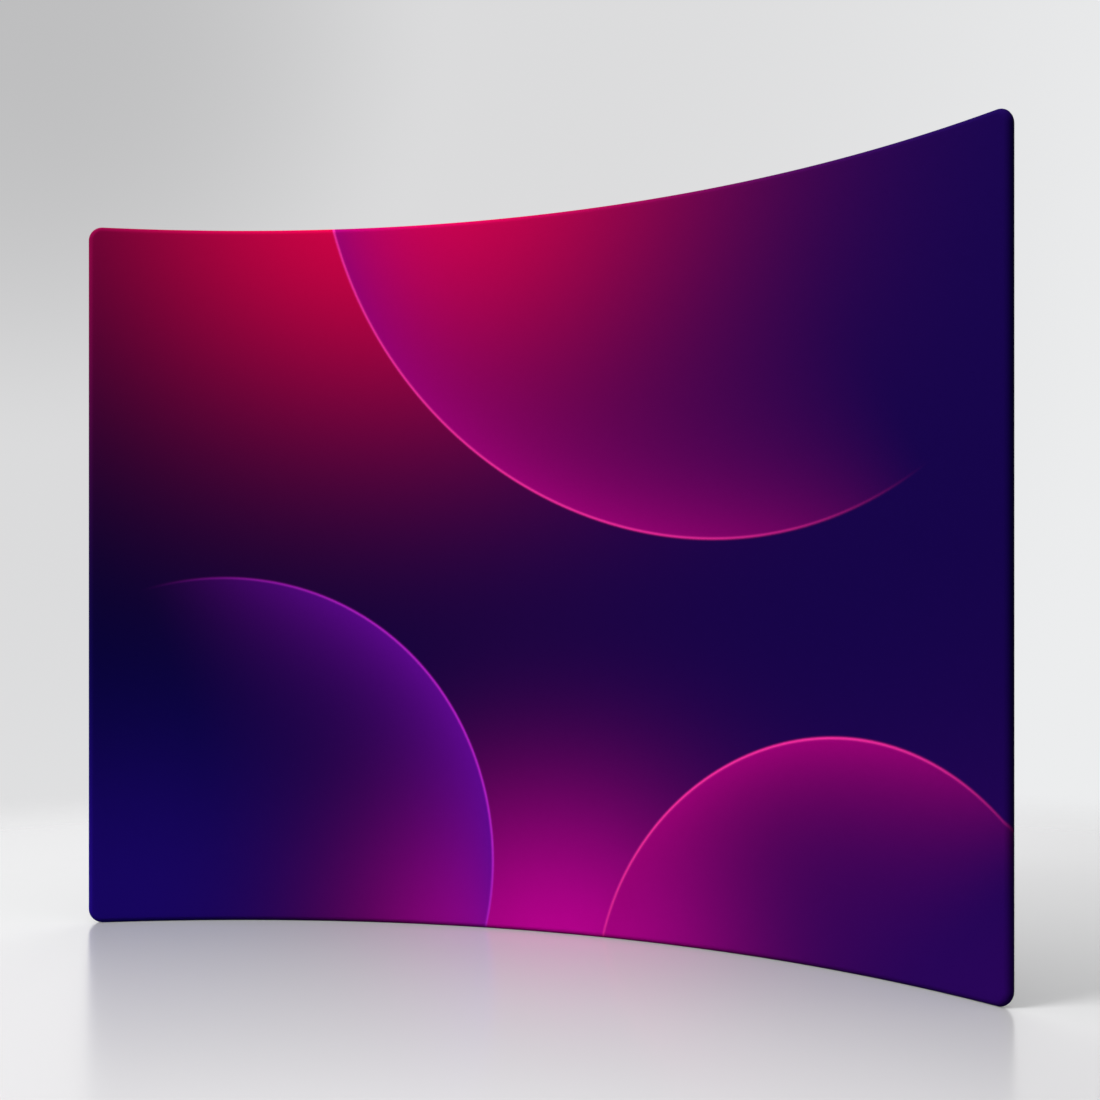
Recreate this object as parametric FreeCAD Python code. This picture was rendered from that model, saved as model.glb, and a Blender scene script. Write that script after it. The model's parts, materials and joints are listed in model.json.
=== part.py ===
import FreeCAD, Part
import os
from collections import namedtuple
from math import atan, cos, degrees, radians, sin, sqrt

# Curved display wall: a push-together tube frame inside a zipped stretch-fabric cover.
# Millimetres, +Z up, the hollow printed face towards -Y.
# The origin is on the floor, under the middle of the wall's overall box.

# Overall size of the wall in its cover
overall_width = 2950.0
overall_height = 2300.0
overall_depth = 485.0

# Round tubes: rails and uprights share one size, the two inner posts are thinner
tube_diameter = 32.0
tube_wall = 1.5
post_diameter = 25.0
post_wall = 1.5
corner_bend_radius = 28.0  # centreline of the elbow

# Spigots that plug into the tube ends
spigot_length = 55.0
spigot_wall = 2.0
spigot_root = 4.0  # how far a spigot runs back into its fitting
spigot_web = 12.0  # solid stretch between the shoulder and the spigot's bore
slip_clearance = 0.5  # between a spigot and the bore of its tube
tee_length = 44.0
tee_neck = 10.0  # the tee's branch, from the rail's surface to the post's end

# Spring buttons that lock each spigot in its tube
button_diameter = 7.0
button_hole_clearance = 0.35
button_proud = 1.5  # above the tube's surface
button_crown = 1.0  # height of the domed top
button_sink = 0.2  # a pressed button lies this far below the spigot's surface
button_flange_lip = 1.0
button_flange_thickness = 1.0
button_setback = 28.0  # from the fitting's shoulder to the button
seat_gap = 0.15
spring_thickness = 0.8
spring_width = 7.0
spring_leg_front = 12.0  # from the button to the bend
spring_leg_back = 6.0

# Blind rivets that fix the couplers in the lower tubes
rivet_diameter = 4.8
rivet_hole_clearance = 0.1
rivet_head_diameter = 8.0
rivet_head_height = 1.2
rivet_head_gap = 0.05
rivet_tail = 2.0

# Fabric cover
cover_thickness = 1.0
cover_gap = 0.8  # between the tubes and the cloth
cover_flat_depth = 0.5  # the cloth under the bottom rail is pressed flat by this much
seam_angle = 110.0  # round the edge tube, from the front face to the seam

# Zip in the back panel, above the bottom rail
zip_height = 60.0
zip_end_margin = 60.0  # from the elbow's shoulder to the end of the slit
tape_width = 14.0
tape_thickness = 0.8
teeth_height = 2.3  # one row
teeth_thickness = 2.4
teeth_row_gap = 1.4
stop_length = 4.0

# Zip slider and its pull tab
slider_length = 16.0
slider_plate = 1.2
slider_clearance = 0.3
slider_flange = 0.9
slider_web_length = 5.0
slider_corner_radius = 3.0
slider_end_gap = 1.0  # between the slider and the stop
bridge_length = 9.0
bridge_leg = 1.2
bridge_width = 2.4
pull_pin_diameter = 1.6
pull_pin_clearance = 0.35
pull_arm = 1.4
pull_arm_gap = 0.5  # between the bridge and each arm of the eye
pull_eye_length = 8.0
pull_tab_length = 22.0
pull_hole_diameter = 3.0
pull_corner_radius = 2.4

UP = FreeCAD.Vector(0, 0, 1)
LEFT, RIGHT = -1, 1

# Radii of one tube size and of the spigot that fits it
Fit = namedtuple("Fit", "tube bore spigot hollow")


def fit_for(diameter, wall):
    tube = diameter / 2
    bore = tube - wall
    spigot = bore - slip_clearance
    return Fit(tube, bore, spigot, spigot - spigot_wall)


rail_fit = fit_for(tube_diameter, tube_wall)
post_fit = fit_for(post_diameter, post_wall)

# Cover radii round the centreline of the edge tubes
cover_inside = rail_fit.tube + cover_gap
cover_outside = cover_inside + cover_thickness
seam_offset = -cover_outside * cos(radians(seam_angle))  # behind the rail's centreline

# Layers of the zip, as distances behind the rail's centreline
tape_front = cover_inside
tape_back = tape_front + tape_thickness
tape_middle = (tape_front + tape_back) / 2
teeth_front = tape_middle - teeth_thickness / 2
teeth_back = tape_middle + teeth_thickness / 2
inner_plate_back = teeth_front - slider_clearance
inner_plate_front = inner_plate_back - slider_plate
outer_plate_front = teeth_back + slider_clearance
outer_plate_back = outer_plate_front + slider_plate
rear_reach = max(cover_outside, teeth_back)

# Heights of the rails and of the joints between the tubes
bottom_rail_height = cover_outside - cover_flat_depth
top_rail_height = overall_height - cover_outside
middle_height = (bottom_rail_height + top_rail_height) / 2
rail_heights = {"bottom": bottom_rail_height, "top": top_rail_height}
rail_inward = {"bottom": UP, "top": -UP}
tee_branch = rail_fit.tube + tee_neck

# Plan of the wall: an arc that runs on straight for one bend radius into each elbow.
# With x and s the half width and the depth to the upright's axis, tan(half angle) = s / (x + bend).
upright_x = overall_width / 2 - cover_outside
upright_s = overall_depth - cover_outside - rear_reach
half_tan = upright_s / (upright_x + corner_bend_radius)
end_angle = 2 * atan(half_tan)
curve_radius = (
    upright_x * (1 + half_tan**2) - corner_bend_radius * (1 - half_tan**2)
) / (2 * half_tan)
curve_centre = FreeCAD.Vector(0, overall_depth / 2 - rear_reach - curve_radius, 0)
rail_names = ("left", "middle", "right")
post_angle = end_angle / len(rail_names)
post_angles = {"left": -post_angle, "right": post_angle}


def turn(length):
    """Angle that a length along the rail's centreline spans."""
    return length / curve_radius


def tangent(angle):
    return FreeCAD.Vector(cos(angle), -sin(angle), 0)


def rearward(angle):
    return FreeCAD.Vector(sin(angle), cos(angle), 0)


def on_curve(angle, height, offset=0.0):
    """Point at an angle round the wall, offset behind the rail's centreline."""
    return curve_centre + rearward(angle) * (curve_radius + offset) + UP * height


def framed(shape, origin, x_axis, z_axis):
    """The shape moved from its own axes to a frame in the wall."""
    turned = FreeCAD.Rotation(x_axis, z_axis.cross(x_axis), z_axis, "XZY")
    placed = shape.copy()
    placed.Placement = FreeCAD.Placement(origin, turned)
    return placed


def face_of(edges):
    return Part.Face(Part.Wire(Part.__sortEdges__(edges)))


def polyline(points):
    return [Part.LineSegment(a, b).toShape() for a, b in zip(points, points[1:])]


def arc(start, through, end):
    return Part.Arc(start, through, end).toShape()


def swept_round(profile, angle_from, angle_to):
    """A profile that stands at angle_from, swept round the wall's curve to angle_to."""
    axis = -UP if angle_to > angle_from else UP
    return profile.revolve(curve_centre, axis, degrees(abs(angle_to - angle_from)))


def disc(centre, normal, radius):
    return Part.Face(Part.Wire(Part.Circle(centre, normal, radius).toShape()))


def bent_rod(angle_from, angle_to, height, radius):
    profile = disc(on_curve(angle_from, height), tangent(angle_from), radius)
    return swept_round(profile, angle_from, angle_to)


def upright_section(angle, offsets, heights):
    """A rectangle that stands across the wall at an angle."""
    low, high = offsets
    bottom, top = heights
    corners = [(low, bottom), (high, bottom), (high, top), (low, top), (low, bottom)]
    return face_of(polyline([on_curve(angle, height, offset) for offset, height in corners]))


def bent_bar(angle_from, angle_to, offsets, heights):
    """A bar of rectangular section that follows the wall's curve."""
    return swept_round(upright_section(angle_from, offsets, heights), angle_from, angle_to)


def straight_tube(base, length, fit):
    outside = Part.makeCylinder(fit.tube, length, base, UP)
    return outside.cut(Part.makeCylinder(fit.bore, length, base, UP))


def fused(shapes):
    return shapes[0].fuse(shapes[1:]).removeSplitter()


nodes = {}

# Each place where a button locks a spigot into a tube: its name, the two nodes that it passes through,
# its point on the tube's axis, the directions to the spigot's tip and to the button's top, and the fit.
Site = namedtuple("Site", "name tube holder origin tip out fit")
sites = []


# Rail tubes
def make_rails():
    for level, height in rail_heights.items():
        half_tee = turn(tee_length / 2)
        ends = [
            (-end_angle, -post_angle - half_tee),
            (-post_angle + half_tee, post_angle - half_tee),
            (post_angle + half_tee, end_angle),
        ]
        for name, (start, stop) in zip(rail_names, ends):
            outside = bent_rod(start, stop, height, rail_fit.tube)
            nodes[f"{level}_rail_{name}"] = outside.cut(
                bent_rod(start, stop, height, rail_fit.bore)
            )


def bent_spigot(shoulder, side, height):
    """Spigot on the rail's curve that leaves a shoulder towards one side, and its bore."""
    tip = shoulder + side * turn(spigot_length)
    root = shoulder - side * turn(spigot_root)
    bore_end = shoulder + side * turn(spigot_web)
    rod = bent_rod(root, tip, height, rail_fit.spigot)
    return rod, bent_rod(bore_end, tip, height, rail_fit.hollow)


def straight_spigot(shoulder, direction, fit):
    """Straight spigot that leaves a shoulder, and its bore."""
    rod = Part.makeCylinder(
        fit.spigot,
        spigot_root + spigot_length,
        shoulder - direction * spigot_root,
        direction,
    )
    bore = Part.makeCylinder(
        fit.hollow,
        spigot_length - spigot_web,
        shoulder + direction * spigot_web,
        direction,
    )
    return rod, bore


def upright_base(side, level):
    """Point on an upright's axis at the shoulder of its elbow."""
    angle = side * end_angle
    reach = tangent(angle) * side + rail_inward[level]
    return on_curve(angle, rail_heights[level]) + reach * corner_bend_radius


# Corner elbows
def make_elbows():
    for level, height in rail_heights.items():
        inward = rail_inward[level]
        for side, side_name in ((LEFT, "left"), (RIGHT, "right")):
            angle = side * end_angle
            outward = tangent(angle) * side
            shoulder = on_curve(angle, height)
            bend = disc(shoulder, outward, rail_fit.tube).revolve(
                shoulder + inward * corner_bend_radius, outward.cross(inward), 90
            )
            rail_rod, rail_bore = bent_spigot(angle, -side, height)
            rod, bore = straight_spigot(upright_base(side, level), inward, rail_fit)
            node = f"elbow_{level}_{side_name}"
            nodes[node] = fused([bend, rail_rod, rod]).cut([rail_bore, bore])
            setback = angle - side * turn(button_setback)
            rail_node = f"{level}_rail_{side_name}"
            add_rail_site(level, rail_node, node, setback, -side)


def add_rail_site(level, tube, holder, angle, side):
    number = sum(site.name.startswith(f"{level}_rail_button") for site in sites) + 1
    sites.append(
        Site(
            f"{level}_rail_button_{number}",
            tube,
            holder,
            on_curve(angle, rail_heights[level]),
            tangent(angle) * side,
            rail_inward[level],
            rail_fit,
        )
    )


# Tees that join the rail tubes and carry the posts
def make_tees():
    for level, height in rail_heights.items():
        inward = rail_inward[level]
        for side, (side_name, angle) in zip((LEFT, RIGHT), post_angles.items()):
            half = turn(tee_length / 2)
            body = bent_rod(angle - half, angle + half, height, rail_fit.tube)
            centre = on_curve(angle, height)
            neck = Part.makeCylinder(post_fit.tube, tee_branch, centre, inward)
            rod, bore = straight_spigot(centre + inward * tee_branch, inward, post_fit)
            arms = [bent_spigot(angle + way * half, way, height) for way in (LEFT, RIGHT)]
            solid = fused([body, neck, rod] + [arm for arm, _ in arms])
            node = f"tee_{level}_{side_name}"
            nodes[node] = solid.cut([bore] + [arm_bore for _, arm_bore in arms])
            rails = (f"{level}_rail_{side_name}", f"{level}_rail_middle")
            for rail_node, way in zip(rails, (side, -side)):
                button = angle + way * (half + turn(button_setback))
                add_rail_site(level, rail_node, node, button, way)


# Upright and post tubes, each in two lengths with a coupler between them
def make_poles():
    couplers = []
    rivets = []
    for side, side_name in ((LEFT, "left"), (RIGHT, "right")):
        upright_ends = [upright_base(side, level) for level in rail_heights]
        angle = post_angles[side_name]
        post_ends = [
            on_curve(angle, height) + rail_inward[level] * tee_branch
            for level, height in rail_heights.items()
        ]
        upright_in = tangent(side * end_angle) * -side
        post_in = tangent(angle) * -side
        poles = [
            (f"{side_name}_upright", "elbow", upright_ends, upright_in, rail_fit),
            (f"{side_name}_post", "tee", post_ends, post_in, post_fit),
        ]
        for name, holder, (bottom, top), out, fit in poles:
            joint = FreeCAD.Vector(bottom.x, bottom.y, middle_height)
            lower, upper = f"{name}_lower", f"{name}_upper"
            nodes[lower] = straight_tube(bottom, joint.z - bottom.z, fit)
            nodes[upper] = straight_tube(joint, top.z - joint.z, fit)
            coupler, rivet, rivet_hole = make_coupler(joint, out, fit)
            nodes[lower] = nodes[lower].cut(rivet_hole)
            button = joint + UP * button_setback
            couplers.append(coupler.cut(button_hole(button, out, fit)))
            rivets.append(rivet)
            setback = UP * button_setback
            bottom_holder, top_holder = [f"{holder}_{level}_{side_name}" for level in rail_heights]
            places = [
                (lower, bottom_holder, bottom + setback, UP),
                (upper, None, button, UP),
                (upper, top_holder, top - setback, -UP),
            ]
            for number, (tube, spigot, origin, tip) in enumerate(places, 1):
                sites.append(Site(f"{name}_button_{number}", tube, spigot, origin, tip, out, fit))
    nodes["pole_couplers"] = Part.makeCompound(couplers)
    nodes["coupler_rivets"] = Part.makeCompound(rivets)


def make_coupler(joint, out, fit):
    """Sleeve half in the lower tube and half in the upper one, with the rivet that holds it and its hole."""
    base = joint - UP * spigot_length
    sleeve = Part.makeCylinder(fit.spigot, 2 * spigot_length, base, UP)
    sleeve = sleeve.cut(Part.makeCylinder(fit.hollow, 2 * spigot_length, base, UP))
    centre = joint - UP * button_setback
    shank_start = centre + out * (fit.hollow - rivet_tail)
    head_start = centre + out * (fit.tube + rivet_head_gap)
    shank_length = fit.tube + rivet_head_gap - fit.hollow + rivet_tail
    shank = Part.makeCylinder(rivet_diameter / 2, shank_length, shank_start, out)
    head = Part.makeCylinder(rivet_head_diameter / 2, rivet_head_height, head_start, out)
    hole_radius = rivet_diameter / 2 + rivet_hole_clearance
    hole = Part.makeCylinder(hole_radius, fit.tube + rivet_head_height, centre, out)
    return sleeve.cut(hole), shank.fuse(head).removeSplitter(), hole


def button_hole(origin, out, fit):
    radius = button_diameter / 2 + button_hole_clearance
    return Part.makeCylinder(radius, fit.tube + button_proud, origin, out)


def pierce_button_holes():
    for site in sites:
        hole = button_hole(site.origin, site.out, site.fit)
        for node in (site.tube, site.holder):
            if node is not None:
                nodes[node] = nodes[node].cut(hole)


def flange_top(fit):
    """Height above the tube's axis where the button's flange meets the spigot's inner wall."""
    lip = button_diameter / 2 + button_flange_lip
    return sqrt(fit.hollow**2 - lip**2) - seat_gap


def button_travel(fit):
    return fit.tube + button_proud - fit.spigot + button_sink


def make_button(fit):
    """Domed pin with a flange inside the spigot: the pin's axis is Z, the tube's axis passes the origin."""
    stem = button_diameter / 2
    lip = stem + button_flange_lip
    shelf = flange_top(fit)
    foot = shelf - button_flange_thickness
    top = fit.tube + button_proud
    rim = top - button_crown
    outline = [(0, foot), (lip, foot), (lip, shelf), (stem, shelf), (stem, rim)]
    points = [FreeCAD.Vector(x, 0, z) for x, z in outline]
    crown_radius = (stem**2 + button_crown**2) / (2 * button_crown)
    half_way = stem / 2
    dome = top - crown_radius + sqrt(crown_radius**2 - half_way**2)
    tip = FreeCAD.Vector(0, 0, top)
    edges = polyline(points)
    edges.append(arc(points[-1], FreeCAD.Vector(half_way, 0, dome), tip))
    edges += polyline([tip, points[0]])
    return face_of(edges).revolve(FreeCAD.Vector(), UP, 360)


def make_spring(fit):
    """Hairpin leaf spring: one leg under the button's flange, the other on the far wall of the spigot."""
    high = flange_top(fit) - button_flange_thickness - seat_gap
    low = seat_gap - sqrt(fit.hollow**2 - (spring_width / 2) ** 2)
    middle = (high + low) / 2
    outer = (high - low) / 2
    inner = outer - spring_thickness

    def point(x, z):
        return FreeCAD.Vector(x, -spring_width / 2, z)

    def leg_pair(bend):
        upper = [point(-spring_leg_back, middle + bend), point(spring_leg_front, middle + bend)]
        lower = [point(spring_leg_front, middle - bend), point(-spring_leg_back, middle - bend)]
        turn_point = point(spring_leg_front + bend, middle)
        return polyline(upper) + [arc(upper[1], turn_point, lower[0])] + polyline(lower)

    ends = [
        (point(-spring_leg_back, middle + sign * inner), point(-spring_leg_back, middle + sign * outer))
        for sign in (1, -1)
    ]
    edges = leg_pair(outer) + leg_pair(inner)
    edges += [Part.LineSegment(a, b).toShape() for a, b in ends]
    return face_of(edges).extrude(FreeCAD.Vector(0, spring_width, 0))


def make_buttons():
    springs = []
    for site in sites:
        place = (site.origin, site.tip, site.out)
        nodes[site.name] = framed(make_button(site.fit), *place)
        springs.append(framed(make_spring(site.fit), *place))
    nodes["button_springs"] = Part.makeCompound(springs)


# Fabric cover
def envelope(radius):
    """Everything within a radius of the wall's middle surface: a curved slab with round edges."""
    low, high = bottom_rail_height, top_rail_height
    start = -end_angle
    front_low, front_high = [on_curve(start, z, -radius) for z in (low, high)]
    rear_low, rear_high = [on_curve(start, z, radius) for z in (low, high)]
    edges = polyline([front_low, front_high]) + polyline([rear_high, rear_low])
    edges.append(arc(front_high, on_curve(start, high + radius), rear_high))
    edges.append(arc(rear_low, on_curve(start, low - radius), front_low))
    pieces = [swept_round(face_of(edges), start, end_angle)]
    for side in (LEFT, RIGHT):
        pieces += end_pieces(side, radius)
    return fused(pieces)


def end_pieces(side, radius):
    """The slab's straight end past the elbows' shoulders, with its round edge and two round corners."""
    angle = side * end_angle
    outward = tangent(angle) * side
    back = rearward(angle)
    base = on_curve(angle, bottom_rail_height + corner_bend_radius)
    rise = top_rail_height - bottom_rail_height - 2 * corner_bend_radius
    front_in, rear_in = base - back * radius, base + back * radius
    front_out, rear_out = [p + outward * corner_bend_radius for p in (front_in, rear_in)]
    edges = polyline([front_out, front_in, rear_in, rear_out])
    edges.append(arc(rear_out, base + outward * (corner_bend_radius + radius), front_out))
    profile = face_of(edges)
    raised = profile.translated(UP * rise)
    axis = outward.cross(UP)
    return [
        profile.extrude(UP * rise),
        profile.revolve(base, -axis, 90),
        raised.revolve(base + UP * rise, axis, 90),
    ]


def front_region():
    """The space in front of the seam, which divides the front panel from the back panel."""
    far = 2 * cover_outside
    heights = (-far, overall_height + far)
    offsets = (-far, seam_offset)
    pieces = [bent_bar(-end_angle, end_angle, offsets, heights)]
    for side in (LEFT, RIGHT):
        angle = side * end_angle
        reach = tangent(angle) * side * (corner_bend_radius + far)
        pieces.append(upright_section(angle, offsets, heights).extrude(reach))
    return fused(pieces)


# The slit that the zip fills, and the outer edges of its rows of teeth
slit_angle = end_angle - turn(zip_end_margin)
teeth_edge = teeth_row_gap / 2 + teeth_height
slit_half_height = teeth_edge + tape_width


def make_cover():
    floor_size = 2 * overall_width
    corner = FreeCAD.Vector(-floor_size / 2, -floor_size / 2, -overall_height)
    under_floor = Part.makeBox(floor_size, floor_size, overall_height, corner)
    skin = envelope(cover_outside).cut([envelope(cover_inside), under_floor])
    front = front_region()
    slit = bent_bar(
        -slit_angle,
        slit_angle,
        (rail_fit.tube, 2 * cover_outside),
        (zip_height - slit_half_height, zip_height + slit_half_height),
    )
    nodes["front_panel"] = skin.common(front)
    nodes["back_panel"] = skin.cut([front, slit])


# Zip: two tapes sewn into the slit, each with a row of teeth on its inner edge
teeth_angle = slit_angle - turn(stop_length)
slider_angle = teeth_angle - turn(slider_end_gap + slider_length / 2)


def make_zip():
    tape_layer = (tape_front, tape_back)
    teeth_layer = (teeth_front, teeth_back)
    for name, side in (("upper", 1), ("lower", -1)):
        tape = sorted(zip_height + side * edge for edge in (teeth_edge, slit_half_height))
        teeth = sorted(zip_height + side * edge for edge in (teeth_row_gap / 2, teeth_edge))
        nodes[f"zip_tape_{name}"] = bent_bar(-slit_angle, slit_angle, tape_layer, tape)
        nodes[f"zip_teeth_{name}"] = bent_bar(-teeth_angle, teeth_angle, teeth_layer, teeth)
    stop_heights = (zip_height - teeth_edge, zip_height + teeth_edge)
    stops = [
        bent_bar(side * teeth_angle, side * slit_angle, teeth_layer, stop_heights)
        for side in (LEFT, RIGHT)
    ]
    nodes["zip_stops"] = Part.makeCompound(stops)


# Slider, and the pull whose pin turns under the slider's bridge
slider_half_height = teeth_edge + slider_clearance + slider_flange
pull_thickness = pull_pin_diameter
pull_pin_back = outer_plate_back + pull_pin_clearance + pull_pin_diameter / 2
bridge_inside = pull_pin_back + pull_pin_diameter / 2 + pull_pin_clearance
bridge_back = bridge_inside + bridge_leg
eye_half_width = bridge_width / 2 + pull_arm_gap
pull_half_width = eye_half_width + pull_arm


def block(along, across, behind):
    """A block in the slider's own frame: along the zip, up across it, and behind the rail's centreline."""
    size = [high - low for low, high in (along, across, behind)]
    return Part.makeBox(*size, FreeCAD.Vector(along[0], across[0], behind[0]))


def edges_through(plate):
    """The edges of a block that run through its thickness."""
    return [edge for edge in plate.Edges if abs(edge.tangentAt(edge.FirstParameter).z) > 0.5]


def round_plate(behind):
    """A plate of the slider with round corners."""
    half = slider_length / 2
    plate = block((-half, half), (-slider_half_height, slider_half_height), behind)
    return plate.makeFillet(slider_corner_radius, edges_through(plate))


def in_slider_frame(shape):
    """From the slider's frame (X along the zip, Y up, Z to the rear) to its closed place on the wall."""
    place = on_curve(slider_angle, zip_height)
    return framed(shape, place, -tangent(slider_angle), rearward(slider_angle))


def make_slider():
    half = slider_length / 2
    outer = round_plate((outer_plate_front, outer_plate_back))
    inner = round_plate((inner_plate_front, inner_plate_back))
    web_half = teeth_row_gap / 2 - slider_clearance
    through = (inner_plate_front, outer_plate_back)
    web = block((-half, slider_web_length - half), (-web_half, web_half), through)
    straight = half - slider_corner_radius
    flanges = [
        block((-straight, straight), edges, layer)
        for edges in (
            (slider_half_height - slider_flange, slider_half_height),
            (-slider_half_height, slider_flange - slider_half_height),
        )
        for layer in (
            (tape_back + slider_clearance, outer_plate_back),
            (inner_plate_front, tape_front - slider_clearance),
        )
    ]
    across = (-bridge_width / 2, bridge_width / 2)
    bridge = block((-bridge_length / 2, bridge_length / 2), across, (outer_plate_front, bridge_back))
    window = block(
        (bridge_leg - bridge_length / 2, bridge_length / 2 - bridge_leg),
        across,
        (outer_plate_back, bridge_inside),
    )
    body = fused([outer, inner, web, bridge.cut(window)] + flanges)
    nodes["zip_slider"] = in_slider_frame(body)


def make_pull():
    behind = (pull_pin_back - pull_thickness / 2, pull_pin_back + pull_thickness / 2)
    pin_base = FreeCAD.Vector(0, -pull_half_width, pull_pin_back)
    pin = Part.makeCylinder(pull_pin_diameter / 2, 2 * pull_half_width, pin_base, FreeCAD.Vector(0, 1, 0))
    reach = pull_eye_length + pull_tab_length
    plate = block((0, reach), (-pull_half_width, pull_half_width), behind)
    far_corners = [edge for edge in edges_through(plate) if edge.CenterOfMass.x > reach / 2]
    plate = plate.makeFillet(pull_corner_radius, far_corners)
    eye = block((0, pull_eye_length), (-eye_half_width, eye_half_width), behind)
    hole_centre = FreeCAD.Vector(reach - pull_half_width, 0, behind[0])
    hole = Part.makeCylinder(pull_hole_diameter / 2, pull_thickness, hole_centre)
    nodes["zip_pull"] = in_slider_frame(fused([plate.cut([eye, hole]), pin]))


def single_solid(name, shape):
    if len(shape.Solids) != 1 or not shape.isValid():
        raise ValueError(f"{name} is not one valid solid: {len(shape.Solids)} solids")
    return shape.Solids[0]


def export():
    os.makedirs("parts", exist_ok=True)
    groups = {"pole_couplers", "coupler_rivets", "button_springs", "zip_stops"}
    for name, shape in nodes.items():
        solid = shape if name in groups else single_solid(name, shape)
        solid.exportStep(f"parts/{name}.step")


make_rails()
make_elbows()
make_tees()
make_poles()
pierce_button_holes()
make_buttons()
make_cover()
make_zip()
make_slider()
make_pull()
export()
print(f"{len(nodes)} nodes, curve radius {curve_radius:.1f}, end angle {degrees(end_angle):.2f} degrees")
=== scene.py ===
# %% [markdown]
# # A curved exhibition wall
# The wall is a frame of round tubes inside a tight cover of knitted polyester, printed on its hollow
# face, black behind, and closed by a zip just above the floor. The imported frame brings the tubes,
# fittings, spring buttons and zip at their real size. This lesson sews the cover over them, sets the
# zip's teeth, and gives every surface its finish.

# %% Load the frame
import json
import math

import bmesh
import bpy
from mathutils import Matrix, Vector


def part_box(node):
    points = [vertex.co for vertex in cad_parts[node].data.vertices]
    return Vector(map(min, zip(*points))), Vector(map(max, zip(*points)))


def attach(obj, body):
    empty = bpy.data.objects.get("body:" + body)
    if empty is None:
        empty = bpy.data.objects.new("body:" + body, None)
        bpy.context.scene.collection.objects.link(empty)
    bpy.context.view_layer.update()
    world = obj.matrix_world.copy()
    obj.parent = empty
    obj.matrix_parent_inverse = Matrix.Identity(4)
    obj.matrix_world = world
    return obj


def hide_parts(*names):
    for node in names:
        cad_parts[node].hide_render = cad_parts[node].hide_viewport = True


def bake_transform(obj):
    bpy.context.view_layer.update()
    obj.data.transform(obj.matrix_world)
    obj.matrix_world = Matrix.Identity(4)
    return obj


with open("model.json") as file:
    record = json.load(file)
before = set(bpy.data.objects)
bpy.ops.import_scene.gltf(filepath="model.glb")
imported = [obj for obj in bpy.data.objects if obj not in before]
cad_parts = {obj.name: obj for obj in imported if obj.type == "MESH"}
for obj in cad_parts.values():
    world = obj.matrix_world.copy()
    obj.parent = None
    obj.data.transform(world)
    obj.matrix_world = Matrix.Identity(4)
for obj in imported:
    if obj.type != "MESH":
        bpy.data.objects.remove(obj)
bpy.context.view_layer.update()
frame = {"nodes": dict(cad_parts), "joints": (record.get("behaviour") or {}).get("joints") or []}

nodes = frame["nodes"]
joints = {joint["name"]: joint for joint in frame["joints"]}

# %% [markdown]
# ## The wall's own measures
# Everything below is drawn round the tubes, so the tubes are measured first. In plan the wall is an arc
# about a vertical axis, which is also the axis that the zip's slider runs round. Past the arc each end
# runs straight for one elbow's bend. The vertices of a curved solid's mesh lie on its faces, so their
# least and greatest distances from the axis give a solid's front and back.

# %% Measure the curve, the edge and the rails
MM = 0.001
CLEAR_OF_ENDS = 0.8  # share of a solid's half width that lies on the arc
axis_x, axis_y, zip_height = joints["zip_run"]["pos_m"]


def reach_from_axis(name):
    """Least and greatest distance of a node from the wall's axis, away from its straight ends."""
    points = [vertex.co for vertex in nodes[name].data.vertices]
    inner = CLEAR_OF_ENDS * max(abs(point.x) for point in points)
    found = [math.hypot(p.x - axis_x, p.y - axis_y) for p in points if abs(p.x) < inner]
    return min(found), max(found)


def middle(name):
    low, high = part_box(name)
    return (low + high) / 2


front_skin = reach_from_axis("front_panel")[0]
back_skin = reach_from_axis("back_panel")[1]
curve_radius = (back_skin + front_skin) / 2
edge_radius = (back_skin - front_skin) / 2
bottom_rail = middle("bottom_rail_middle").z
top_rail = middle("top_rail_middle").z
bend_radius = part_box("right_upright_lower")[0].z - bottom_rail
upright = middle("right_upright_lower")
end_angle = math.atan2(upright.x - axis_x, upright.y - axis_y) - math.atan(bend_radius / curve_radius)
half_arc = curve_radius * end_angle
print(f"curve {curve_radius:.4f} m, edge {edge_radius / MM:.2f} mm, half arc {half_arc:.4f} m")

# %% [markdown]
# ## Drawing on the unrolled wall
# Cloth is cut flat, so the cover is drawn flat too: s runs along the wall from its middle, z runs up,
# and n is the distance behind the tubes' centreline. One function rolls such a point up into the room,
# and every sewn piece and zip part below is built through it, so they all follow the same curve. A
# second one makes the piece itself: it rides on a body, and it keeps each point's flat place as a UV
# map, so that a pattern on the cloth is drawn in metres too.

# %% Roll a flat point up


def wall_point(s, z, n):
    """The point at s along the wall, z up it and n behind the tubes' centreline."""
    angle = max(-end_angle, min(end_angle, s / curve_radius))
    straight = s - angle * curve_radius
    out = Vector((math.sin(angle), math.cos(angle), 0))
    along = Vector((math.cos(angle), -math.sin(angle), 0))
    return Vector((axis_x, axis_y, z)) + out * (curve_radius + n) + along * straight


def mesh_piece(name, points, faces, material, flats=None, body="wall"):
    """A new smooth-shaded object on a body, with its finish and its flat places as a UV map."""
    mesh = bpy.data.meshes.new(name)
    mesh.from_pydata([tuple(point) for point in points], [], faces)
    mesh.polygons.foreach_set("use_smooth", [True] * len(mesh.polygons))
    mesh.materials.append(material)
    if flats:
        layer = mesh.uv_layers.new(name="plan")
        for corner in mesh.loops:
            layer.data[corner.index].uv = flats[corner.vertex_index]
    piece = bpy.data.objects.new(name, mesh)
    bpy.context.scene.collection.objects.link(piece)
    if body:
        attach(piece, body)
    return piece


rolled_end = wall_point(half_arc + bend_radius, upright.z, 0)
print(f"the wall's end rolls up {(rolled_end - upright).length / MM:.3f} mm from the upright's middle")

# %% [markdown]
# ## Materials: colour and nodes
# Every colour is written as the sRGB hex value that the eye would pick, and one function turns it to the
# linear numbers that light is reckoned in. One small function adds a node with its settings and links.

# %% Colour and node helpers


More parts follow.
